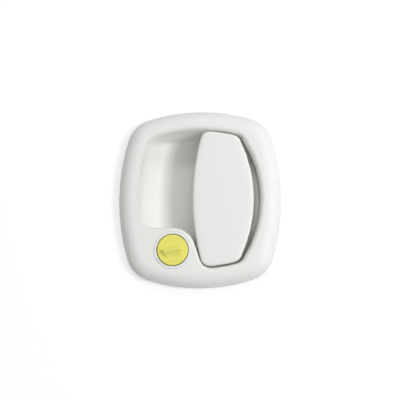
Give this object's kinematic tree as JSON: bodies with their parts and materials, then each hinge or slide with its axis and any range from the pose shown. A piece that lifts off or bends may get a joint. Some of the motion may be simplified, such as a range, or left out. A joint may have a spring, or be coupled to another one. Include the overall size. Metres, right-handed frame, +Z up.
{
  "type": "exterior door handle",
  "caption": "Flush exterior door handle: domed white bezel with a finger pocket, a sprung pull paddle on a vertical pin and a hand-turned lock insert with a drive blade.",
  "frame": {"origin": "centre of the flange gasket's rear face, in the plane of the door's outer skin", "axes": "+X right along the door seen from outside, +Y into the door, +Z up; the handle faces -Y"},
  "size_m": [0.12, 0.0514, 0.131],
  "materials": {
    "white_moulding": "satin",
    "yellow_moulding": "satin",
    "grey_moulding": "matt",
    "bush_moulding": "satin",
    "rubber": "matt",
    "casting": "cast",
    "steel": "zinc plated",
    "spring_steel": "oiled",
    "brass": "knurled"
  },
  "bodies": {
    "mounting": {"bezel": "white_moulding", "flange_gasket": "rubber", "threaded_inserts": "brass", "hinge_carrier": "grey_moulding", "carrier_screws": "steel", "hinge_pin": "steel", "pin_clips": "spring_steel", "paddle_bumpers": "rubber", "lock_housing": "white_moulding", "housing_seal": "rubber", "lock_nut": "steel", "return_spring": "spring_steel"},
    "paddle": {"paddle_cover": "white_moulding", "paddle_lever": "casting", "paddle_screws": "steel", "hinge_bushes": "bush_moulding"},
    "lock": {"lock_insert": "yellow_moulding", "lock_rotor": "casting", "rotor_o_ring": "rubber", "rotor_clip": "spring_steel", "drive_blade": "steel", "blade_pin": "steel"}
  },
  "joints": [
    {"name": "paddle_pivot", "type": "hinge", "parent": "mounting", "child": "paddle", "pos_m": [0.0315, -0.0005, 0], "axis": [0, 0, 1], "range_deg": [0, 18], "stiffness_Nm_per_rad": 0.2, "springref_deg": -20.05, "deforming": ["return_spring"]},
    {"name": "lock_turn", "type": "hinge", "parent": "mounting", "child": "lock", "pos_m": [-0.0192, 0, -0.0379], "axis": [0, 1, 0], "range_deg": [0, 90]}
  ]
}
